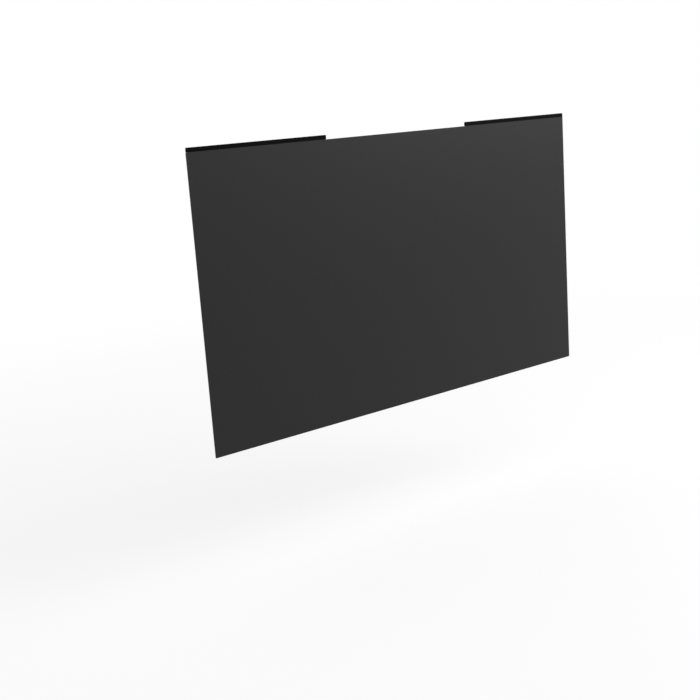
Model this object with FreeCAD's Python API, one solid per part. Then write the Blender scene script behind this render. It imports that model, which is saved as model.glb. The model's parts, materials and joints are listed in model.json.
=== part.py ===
# Privacy filter of the 24-inch 16:9 size, in millimetres.
# A thin dark louvre sheet covers the view. Two lands stand up from its top edge, one at each end, and each
# carries a moulded strip with a magnet band inside. The band snaps to a steel plate with tape on its back.
# X runs to the user's right, Y away from the user, Z up. The origin is the middle of the sheet's lower
# edge, on its back.
import FreeCAD
import Part
import os

from FreeCAD import Vector

# Sheet: one laminated film, die-cut with a land for each strip
SHEET_WIDTH = 531.0
SHEET_HEIGHT = 299.0
SHEET_THICKNESS = 0.55
SHEET_CORNER_RADIUS = 0.5
LAND_CLEARANCE = 0.1
LAND_CORNER_RADIUS = 0.5

# Strip: a moulded tray, open below and at the back, that covers the land
STRIP_LENGTH = 165.5
STRIP_RISE = 4.5
STRIP_END_INSET = 0.6
STRIP_FRONT_WALL = 0.4
STRIP_RIM_WALL = 0.6
STRIP_CORNER_RADIUS = 1.0
STRIP_EDGE_RADIUS = 0.2
SHEET_EDGE_CLEARANCE = 0.2

# Tape between the strip's front wall and the land
STRIP_TAPE_THICKNESS = 0.1
STRIP_TAPE_MARGIN = 0.3

# Flexible magnet band, stuck on the land's back within the strip's rim
MAGNET_THICKNESS = 0.8
MAGNET_CLEARANCE = 0.1
MAGNET_PROUD = 0.05

# Steel plate that the magnet snaps to, and the tape on the plate's back
PLATE_THICKNESS = 0.8
PLATE_SIDE_MARGIN = 0.2
PLATE_END_MARGIN = 3.0
PLATE_CORNER_RADIUS = 0.6
PLATE_TAPE_THICKNESS = 0.3
PLATE_TAPE_MARGIN = 0.2

SIDES = {"left": -1, "right": 1}

# How near two coordinates are when they count as the same
SAME_PLACE = 0.001

# Planes across the stack, from front to back
SHEET_FRONT = -SHEET_THICKNESS
SHEET_BACK = 0.0
STRIP_TAPE_FRONT = SHEET_FRONT - STRIP_TAPE_THICKNESS
STRIP_FRONT = STRIP_TAPE_FRONT - STRIP_FRONT_WALL
MAGNET_BACK = SHEET_BACK + MAGNET_THICKNESS
STRIP_BACK = MAGNET_BACK - MAGNET_PROUD
PLATE_BACK = MAGNET_BACK + PLATE_THICKNESS
PLATE_TAPE_BACK = PLATE_BACK + PLATE_TAPE_THICKNESS

# Levels of the strip and of the land inside it
STRIP_BOTTOM = SHEET_HEIGHT + SHEET_EDGE_CLEARANCE
STRIP_TOP = SHEET_HEIGHT + STRIP_RISE
POCKET_TOP = STRIP_TOP - STRIP_RIM_WALL
LAND_TOP = POCKET_TOP - LAND_CLEARANCE

# The land's foot is rounded no further up than the gap under the strip
LAND_FOOT_RADIUS = SHEET_EDGE_CLEARANCE


def strip_span(side, margin=0.0):
    """The strip's ends in X, each drawn in by the margin."""
    outer = side * (SHEET_WIDTH / 2 - STRIP_END_INSET - margin)
    inner = side * (SHEET_WIDTH / 2 - STRIP_END_INSET - STRIP_LENGTH + margin)
    return min(outer, inner), max(outer, inner)


def land_span(side, margin=0.0):
    """The land's ends in X, each drawn in by the margin."""
    return strip_span(side, STRIP_RIM_WALL + LAND_CLEARANCE + margin)


def rectangle(x, z, lower=0.0, upper=0.0):
    """Corners (x, z, radius) of a rectangle, from its lower left on, with a lower and an upper radius."""
    return [(x[0], z[0], lower), (x[1], z[0], lower), (x[1], z[1], upper), (x[0], z[1], upper)]


def edges_at(shape, spots):
    """Edges that run from front to back through the given (x, z) spots."""
    found = []
    for edge in shape.Edges:
        box = edge.BoundBox
        if box.YLength > max(box.XLength, box.ZLength):
            near = [abs(box.Center.x - x) + abs(box.Center.z - z) < SAME_PLACE for x, z in spots]
            if any(near):
                found.append(edge)
    return found


def flat_piece(corners, planes):
    """A flat piece between two planes, whose outline has the given corners (x, z, radius)."""
    front, back = planes
    points = [Vector(x, front, z) for x, z, radius in corners]
    outline = Part.makePolygon(points + points[:1])
    piece = Part.Face(outline).extrude(Vector(0, back - front, 0))
    for radius in sorted({radius for x, z, radius in corners if radius > 0}):
        spots = [(x, z) for x, z, own in corners if own == radius]
        piece = piece.makeFillet(radius, edges_at(piece, spots))
    return piece


def land_corners(side):
    """Corners of a land, from its right foot over its top to its left foot."""
    left, right = land_span(side)
    return [(right, SHEET_HEIGHT, LAND_FOOT_RADIUS), (right, LAND_TOP, LAND_CORNER_RADIUS),
            (left, LAND_TOP, LAND_CORNER_RADIUS), (left, SHEET_HEIGHT, LAND_FOOT_RADIUS)]


def filter_sheet():
    """The film, cut in one outline with its two lands."""
    half = SHEET_WIDTH / 2
    corners = rectangle((-half, half), (0.0, SHEET_HEIGHT), SHEET_CORNER_RADIUS, SHEET_CORNER_RADIUS)
    *up_the_right, upper_left = corners
    lands = land_corners(SIDES["right"]) + land_corners(SIDES["left"])
    return flat_piece(up_the_right + lands + [upper_left], (SHEET_FRONT, SHEET_BACK))


def front_rim(shape):
    """Edges round the strip's front face."""
    rim = []
    for edge in shape.Edges:
        box = edge.BoundBox
        if max(abs(box.YMin - STRIP_FRONT), abs(box.YMax - STRIP_FRONT)) < SAME_PLACE:
            rim.append(edge)
    return rim


def strip(side):
    """A bar with rounded upper corners and a softened front, hollowed from behind and below."""
    bar = rectangle(strip_span(side), (STRIP_BOTTOM, STRIP_TOP), upper=STRIP_CORNER_RADIUS)
    body = flat_piece(bar, (STRIP_FRONT, STRIP_BACK))
    body = body.makeFillet(STRIP_EDGE_RADIUS, front_rim(body))
    hollow = rectangle(strip_span(side, STRIP_RIM_WALL), (STRIP_BOTTOM, POCKET_TOP))
    return body.cut(flat_piece(hollow, (STRIP_TAPE_FRONT, STRIP_BACK)))


def strip_tape(side):
    levels = (STRIP_BOTTOM + STRIP_TAPE_MARGIN, LAND_TOP - STRIP_TAPE_MARGIN)
    return flat_piece(rectangle(land_span(side, STRIP_TAPE_MARGIN), levels), (STRIP_TAPE_FRONT, SHEET_FRONT))


def magnet(side):
    span = strip_span(side, STRIP_RIM_WALL + MAGNET_CLEARANCE)
    levels = (STRIP_BOTTOM + MAGNET_CLEARANCE, POCKET_TOP - MAGNET_CLEARANCE)
    return flat_piece(rectangle(span, levels), (SHEET_BACK, MAGNET_BACK))


def plate_outline(side, margin=0.0):
    """Corners of the steel plate, drawn in by the margin."""
    span = strip_span(side, PLATE_END_MARGIN + margin)
    levels = (STRIP_BOTTOM + PLATE_SIDE_MARGIN + margin, STRIP_TOP - PLATE_SIDE_MARGIN - margin)
    radius = PLATE_CORNER_RADIUS - margin
    return rectangle(span, levels, radius, radius)


def bezel_plate(side):
    return flat_piece(plate_outline(side), (MAGNET_BACK, PLATE_BACK))


def bezel_tape(side):
    return flat_piece(plate_outline(side, PLATE_TAPE_MARGIN), (PLATE_BACK, PLATE_TAPE_BACK))


def pieces():
    """Every piece by name, in its place."""
    made = {"filter_sheet": filter_sheet()}
    for name, side in SIDES.items():
        made[name + "_strip"] = strip(side)
        made[name + "_strip_tape"] = strip_tape(side)
        made[name + "_magnet"] = magnet(side)
        made[name + "_bezel_plate"] = bezel_plate(side)
        made[name + "_bezel_tape"] = bezel_tape(side)
    return made


def main():
    os.makedirs("parts", exist_ok=True)
    for name, shape in pieces().items():
        shape.exportStep("parts/" + name + ".step")


main()
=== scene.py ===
import json
import math

import bmesh
import bpy
from mathutils import Matrix, Vector


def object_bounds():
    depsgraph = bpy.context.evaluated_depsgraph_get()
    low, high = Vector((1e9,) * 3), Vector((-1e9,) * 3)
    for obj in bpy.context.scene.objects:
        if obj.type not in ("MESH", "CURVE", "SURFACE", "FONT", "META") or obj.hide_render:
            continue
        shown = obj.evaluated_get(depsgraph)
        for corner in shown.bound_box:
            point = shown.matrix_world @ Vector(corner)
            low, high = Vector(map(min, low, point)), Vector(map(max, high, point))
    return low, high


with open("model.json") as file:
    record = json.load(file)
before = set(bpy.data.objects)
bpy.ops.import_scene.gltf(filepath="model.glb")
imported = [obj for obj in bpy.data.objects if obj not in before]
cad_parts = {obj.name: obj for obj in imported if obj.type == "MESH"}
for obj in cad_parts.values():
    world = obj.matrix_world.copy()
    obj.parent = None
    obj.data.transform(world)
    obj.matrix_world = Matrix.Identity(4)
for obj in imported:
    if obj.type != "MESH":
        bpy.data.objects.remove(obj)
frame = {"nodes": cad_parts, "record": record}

CAD_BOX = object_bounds()

# Camera, in metres in the part's frame, from the sheet's four corners in the photograph
CAMERA_PLACE = Vector((-0.8153, -0.9274, 0.3344))
CAMERA_TARGET = Vector((-0.0878, -0.0006, 0.0760))
CAMERA_LEAN = math.radians(4.066)
LENS_MM = 58.0
SENSOR_MM = 36.0

# Key lamp: a large soft box above the right front
KEY_PLACE = Vector((1.0, -0.85, 0.9))
KEY_TARGET = Vector((0.15, 0.0, 0.22))
KEY_SIZE = 0.9
KEY_WATTS = 12.2

# Stage: the filter hovers over a pale floor that turns to plain white away from it
WHITE = (1.0, 1.0, 1.0)
AMBIENT_STRENGTH = 0.75
SHOWN_STRENGTH = 1.0
FLOOR_DROP = 0.13
FLOOR_RADIUS = 12.0
FLOOR_SIDES = 96
FLOOR_TONE = (0.96, 0.96, 0.96)
FLOOR_FADE_REACH = (0.45, 1.6)
FLOOR_EVEN_SHARE = (0.7, 1.0)

# Materials: colours are linear, relief is in metres, and a scale counts noise cells per metre
# Noise mostly stays between 0.3 and 0.7, so the limits of a share or a pair of tones lie past its reach
OPAQUE = 1.0
SOFT_DETAIL = 2.0
FINE_DETAIL = 4.0
EVEN_STRETCH = (1.0, 1.0, 1.0)
PLAIN_SPECULAR = 0.5

# Film: a black core between two skins, a fine grain, upright louvre streaks and clouds in its gloss
FILM_TONES = ((0.0015, 0.0015, 0.0015), (0.0099, 0.0099, 0.0101))
FILM_MIDDLE = -0.000275
FILM_CORE_HALF = 0.00016
FILM_FACING = 0.5
FILM_GRAIN_SCALE = 3200.0
FILM_GRAIN_SHARE = (-0.4, 1.4)
FILM_GRAIN_RELIEF = 0.000005
FILM_LOUVRE_SCALE = 700.0
FILM_LOUVRE_STRETCH = (1.0, 1.0, 0.006)
FILM_LOUVRE_SHARE = (0.75, 1.15)
FILM_CLOUD_SCALE = 9.0
FILM_FRONT_ROUGHNESS = (0.42, 0.48)
FILM_BACK_ROUGHNESS = 0.16
FILM_SPECULAR = 0.27

# Strip: moulded plastic with a satin grain
STRIP_TONES = ((0.0002, 0.0002, 0.0003), (0.0021, 0.0021, 0.0022))
STRIP_GRAIN_SCALE = 5500.0
STRIP_ROUGHNESS = (0.48, 0.60)
STRIP_RELIEF = 0.000009
STRIP_SPECULAR = 0.04

# Magnet band: speckled ferrite rubber
MAGNET_TONES = ((0.022, 0.020, 0.019), (0.046, 0.042, 0.039))
MAGNET_SPECKLE_SCALE = 4200.0
MAGNET_ROUGHNESS = (0.55, 0.75)
MAGNET_RELIEF = 0.000004

# Plate: painted steel with rolling lines along it
PLATE_TONES = ((0.085, 0.085, 0.088), (0.14, 0.14, 0.145))
PLATE_LINE_SCALE = 2600.0
PLATE_LINE_STRETCH = (0.02, 1.0, 1.0)
PLATE_ROUGHNESS = (0.32, 0.48)
PLATE_RELIEF = 0.000002

# Tapes: foam with pores
TAPE_TONES = ((0.24, 0.24, 0.23), (0.36, 0.36, 0.35))
TAPE_PORE_SCALE = 3600.0
TAPE_ROUGHNESS = (0.72, 0.85)
TAPE_RELIEF = 0.00001


def new_object(name, data):
    """An object of the given data, in the scene."""
    made = bpy.data.objects.new(name, data)
    bpy.context.scene.collection.objects.link(made)
    return made


def aimed(place, target, lean=0.0):
    """The matrix of what stands at a place and looks at a target, leant to its right."""
    level = (target - place).to_track_quat("-Z", "Y").to_matrix()
    turn = level @ Matrix.Rotation(-lean, 3, "Z")
    return Matrix.Translation(place) @ turn.to_4x4()


def add_camera():
    data = bpy.data.cameras.new("camera")
    data.lens = LENS_MM
    data.sensor_width = SENSOR_MM
    camera = new_object("camera", data)
    camera.matrix_world = aimed(CAMERA_PLACE, CAMERA_TARGET, CAMERA_LEAN)
    bpy.context.scene.camera = camera


def add_key_lamp():
    data = bpy.data.lights.new("key", "AREA")
    data.shape = "SQUARE"
    data.size = KEY_SIZE
    data.energy = KEY_WATTS
    new_object("key", data).matrix_world = aimed(KEY_PLACE, KEY_TARGET)


def feed(tree, socket, value):
    """Set a socket to a number, or link it to another socket."""
    if isinstance(value, (int, float)):
        socket.default_value = value
    else:
        tree.links.new(value, socket)


def math_node(tree, operation, first, second=0.0):
    """The result of an operation on two sockets or numbers."""
    node = tree.nodes.new("ShaderNodeMath")
    node.operation = operation
    feed(tree, node.inputs[0], first)
    feed(tree, node.inputs[1], second)
    return node.outputs["Value"]


def split(tree, vector):
    """The X, Y and Z of a vector."""
    node = tree.nodes.new("ShaderNodeSeparateXYZ")
    feed(tree, node.inputs["Vector"], vector)
    return node.outputs


def noise(tree, vector, scale, detail):
    """Noise of the given scale and detail, mostly between 0.3 and 0.7."""
    node = tree.nodes.new("ShaderNodeTexNoise")
    node.inputs["Scale"].default_value = scale
    node.inputs["Detail"].default_value = detail
    feed(tree, node.inputs["Vector"], vector)
    return node.outputs["Fac"]


def stretched(tree, vector, stretch):
    """Coordinates for a noise that is drawn out where its stretch is small."""
    node = tree.nodes.new("ShaderNodeMapping")
    node.inputs["Scale"].default_value = stretch
    feed(tree, node.inputs["Vector"], vector)
    return node.outputs["Vector"]


def spread(tree, value, limits, reach=(0.0, 1.0), course="LINEAR"):
    """A value within the reach, carried over to the range between the limits."""
    node = tree.nodes.new("ShaderNodeMapRange")
    node.interpolation_type = course
    node.inputs["From Min"].default_value, node.inputs["From Max"].default_value = reach
    node.inputs["To Min"].default_value, node.inputs["To Max"].default_value = limits
    feed(tree, node.inputs["Value"], value)
    return node.outputs["Result"]


def tones(tree, value, pair):
    """A colour between the dark and the light one of a pair, by a value from 0 to 1."""
    node = tree.nodes.new("ShaderNodeValToRGB")
    for element, tone in zip(node.color_ramp.elements, pair):
        element.color = (*tone, OPAQUE)
    feed(tree, node.inputs["Fac"], value)
    return node.outputs["Color"]


def blend(tree, share, first, second):
    """The first value where the share is 0, the second where it is 1."""
    node = tree.nodes.new("ShaderNodeMix")
    node.data_type = "FLOAT"
    feed(tree, node.inputs["Factor"], share)
    feed(tree, node.inputs["A"], first)
    feed(tree, node.inputs["B"], second)
    return node.outputs["Result"]


def bump(tree, shader, height, depth):
    """Relief of the given depth on the shader's surface."""
    node = tree.nodes.new("ShaderNodeBump")
    node.inputs["Distance"].default_value = depth
    feed(tree, node.inputs["Height"], height)
    feed(tree, shader.inputs["Normal"], node.outputs["Normal"])


def seen_directly(tree):
    """1 on rays that show the background itself, straight or in gloss, and 0 on rays that light things."""
    path = tree.nodes.new("ShaderNodeLightPath")
    shown = math_node(tree, "MAXIMUM", path.outputs["Is Camera Ray"], path.outputs["Is Glossy Ray"])
    return math_node(tree, "MAXIMUM", shown, path.outputs["Is Transmission Ray"])


def white_light(tree, kind, strength):
    """White light from a background or emission node."""
    node = tree.nodes.new(kind)
    node.inputs["Color"].default_value = (*WHITE, OPAQUE)
    node.inputs["Strength"].default_value = strength
    return node.outputs[0]


def show_mix(tree, output_kind, share, first, second):
    """Put out the first shader where the share is 0, the second where it is 1."""
    mix = tree.nodes.new("ShaderNodeMixShader")
    feed(tree, mix.inputs["Fac"], share)
    feed(tree, mix.inputs[1], first)
    feed(tree, mix.inputs[2], second)
    output = tree.nodes.new(output_kind)
    feed(tree, output.inputs["Surface"], mix.outputs["Shader"])


def add_world():
    """Even white light all round, and a plain white background."""
    world = bpy.data.worlds.new("studio")
    world.use_nodes = True
    tree = world.node_tree
    tree.nodes.clear()
    ambient = white_light(tree, "ShaderNodeBackground", AMBIENT_STRENGTH)
    shown = white_light(tree, "ShaderNodeBackground", SHOWN_STRENGTH)
    show_mix(tree, "ShaderNodeOutputWorld", seen_directly(tree), ambient, shown)
    bpy.context.scene.world = world


def floor_material():
    """Matt white near the object, where its shadow falls, and even white further out."""
    material = bpy.data.materials.new("floor")
    material.use_nodes = True
    tree = material.node_tree
    tree.nodes.clear()
    matt = tree.nodes.new("ShaderNodeBsdfDiffuse")
    matt.inputs["Color"].default_value = (*FLOOR_TONE, OPAQUE)
    even = white_light(tree, "ShaderNodeEmission", SHOWN_STRENGTH)
    spot = tree.nodes.new("ShaderNodeTexCoord")
    away = tree.nodes.new("ShaderNodeVectorMath")
    away.operation = "LENGTH"
    feed(tree, away.inputs[0], spot.outputs["Object"])
    fade = spread(tree, away.outputs["Value"], FLOOR_EVEN_SHARE, FLOOR_FADE_REACH, "SMOOTHSTEP")
    share = math_node(tree, "MULTIPLY", fade, seen_directly(tree))
    show_mix(tree, "ShaderNodeOutputMaterial", share, matt.outputs["BSDF"], even)
    return material


def add_floor():
    shape = bmesh.new()
    bmesh.ops.create_circle(shape, cap_ends=True, segments=FLOOR_SIDES, radius=FLOOR_RADIUS)
    mesh = bpy.data.meshes.new("floor")
    shape.to_mesh(mesh)
    shape.free()
    mesh.materials.append(floor_material())
    floor = new_object("floor", mesh)
    floor.location.z = CAD_BOX[0].z - FLOOR_DROP


def new_material(name):
    """A material with its node tree, its shader and its object coordinates."""
    material = bpy.data.materials.new(name)
    material.use_nodes = True
    tree = material.node_tree
    spot = tree.nodes.new("ShaderNodeTexCoord")
    return material, tree, tree.nodes["Principled BSDF"], spot


def fine_surface(name, scale, detail, pair, roughness, relief,
                 stretch=EVEN_STRETCH, specular=PLAIN_SPECULAR):
    """A material whose colour, gloss and relief all follow one fine noise."""
    material, tree, shader, spot = new_material(name)
    grain = noise(tree, stretched(tree, spot.outputs["Object"], stretch), scale, detail)
    feed(tree, shader.inputs["Base Color"], tones(tree, grain, pair))
    feed(tree, shader.inputs["Roughness"], spread(tree, grain, roughness))
    shader.inputs["Specular IOR Level"].default_value = specular
    bump(tree, shader, grain, relief)
    return material


def privacy_film():
    """Louvre film: matt front, glossier back, and cut edges with a black core between two dark skins."""
    material, tree, shader, spot = new_material("privacy_film")
    place = spot.outputs["Object"]
    facing = split(tree, spot.outputs["Normal"])["Y"]
    on_front = math_node(tree, "LESS_THAN", facing, -FILM_FACING)
    on_back = math_node(tree, "GREATER_THAN", facing, FILM_FACING)
    from_middle = math_node(tree, "SUBTRACT", split(tree, place)["Y"], FILM_MIDDLE)
    in_skin = math_node(tree, "GREATER_THAN", math_node(tree, "ABSOLUTE", from_middle), FILM_CORE_HALF)
    grain = noise(tree, place, FILM_GRAIN_SCALE, FINE_DETAIL)
    louvres = noise(tree, stretched(tree, place, FILM_LOUVRE_STRETCH), FILM_LOUVRE_SCALE, SOFT_DETAIL)
    share = math_node(tree, "MULTIPLY", spread(tree, grain, FILM_GRAIN_SHARE),
                      spread(tree, louvres, FILM_LOUVRE_SHARE))
    skin = math_node(tree, "MULTIPLY", share, in_skin)
    feed(tree, shader.inputs["Base Color"], tones(tree, skin, FILM_TONES))
    cloud = noise(tree, place, FILM_CLOUD_SCALE, SOFT_DETAIL)
    matt = spread(tree, cloud, FILM_FRONT_ROUGHNESS)
    feed(tree, shader.inputs["Roughness"], blend(tree, on_back, matt, FILM_BACK_ROUGHNESS))
    shader.inputs["Specular IOR Level"].default_value = FILM_SPECULAR
    bump(tree, shader, math_node(tree, "MULTIPLY", grain, on_front), FILM_GRAIN_RELIEF)
    return material


def strip_plastic():
    """Near-black plastic with a fine satin moulded grain."""
    return fine_surface("strip_plastic", STRIP_GRAIN_SCALE, SOFT_DETAIL, STRIP_TONES, STRIP_ROUGHNESS,
                        STRIP_RELIEF, specular=STRIP_SPECULAR)


def magnet_band():
    """Rubber-bonded ferrite, dark brown-grey with a fine speckle."""
    return fine_surface("magnet_band", MAGNET_SPECKLE_SCALE, FINE_DETAIL, MAGNET_TONES, MAGNET_ROUGHNESS,
                        MAGNET_RELIEF)


def bezel_plate():
    """Thin steel under satin dark grey paint, rolled along its length."""
    return fine_surface("bezel_plate", PLATE_LINE_SCALE, FINE_DETAIL, PLATE_TONES, PLATE_ROUGHNESS,
                        PLATE_RELIEF, stretch=PLATE_LINE_STRETCH)


def adhesive_tape():
    """Pale grey acrylic foam with fine pores."""
    return fine_surface("adhesive_tape", TAPE_PORE_SCALE, FINE_DETAIL, TAPE_TONES, TAPE_ROUGHNESS,
                        TAPE_RELIEF)


def dress():
    """Give every node the material of its slot in the record."""
    makers = (privacy_film, strip_plastic, magnet_band, bezel_plate, adhesive_tape)
    materials = {maker.__name__: maker() for maker in makers}
    for subpart in frame["record"]["subparts"]:
        node = frame["nodes"][subpart["node"]]
        node.data.materials.clear()
        node.data.materials.append(materials[subpart["material_slot"]])


bpy.context.scene.view_settings.view_transform = "Standard"
add_world()
add_floor()
add_key_lamp()
add_camera()
dress()
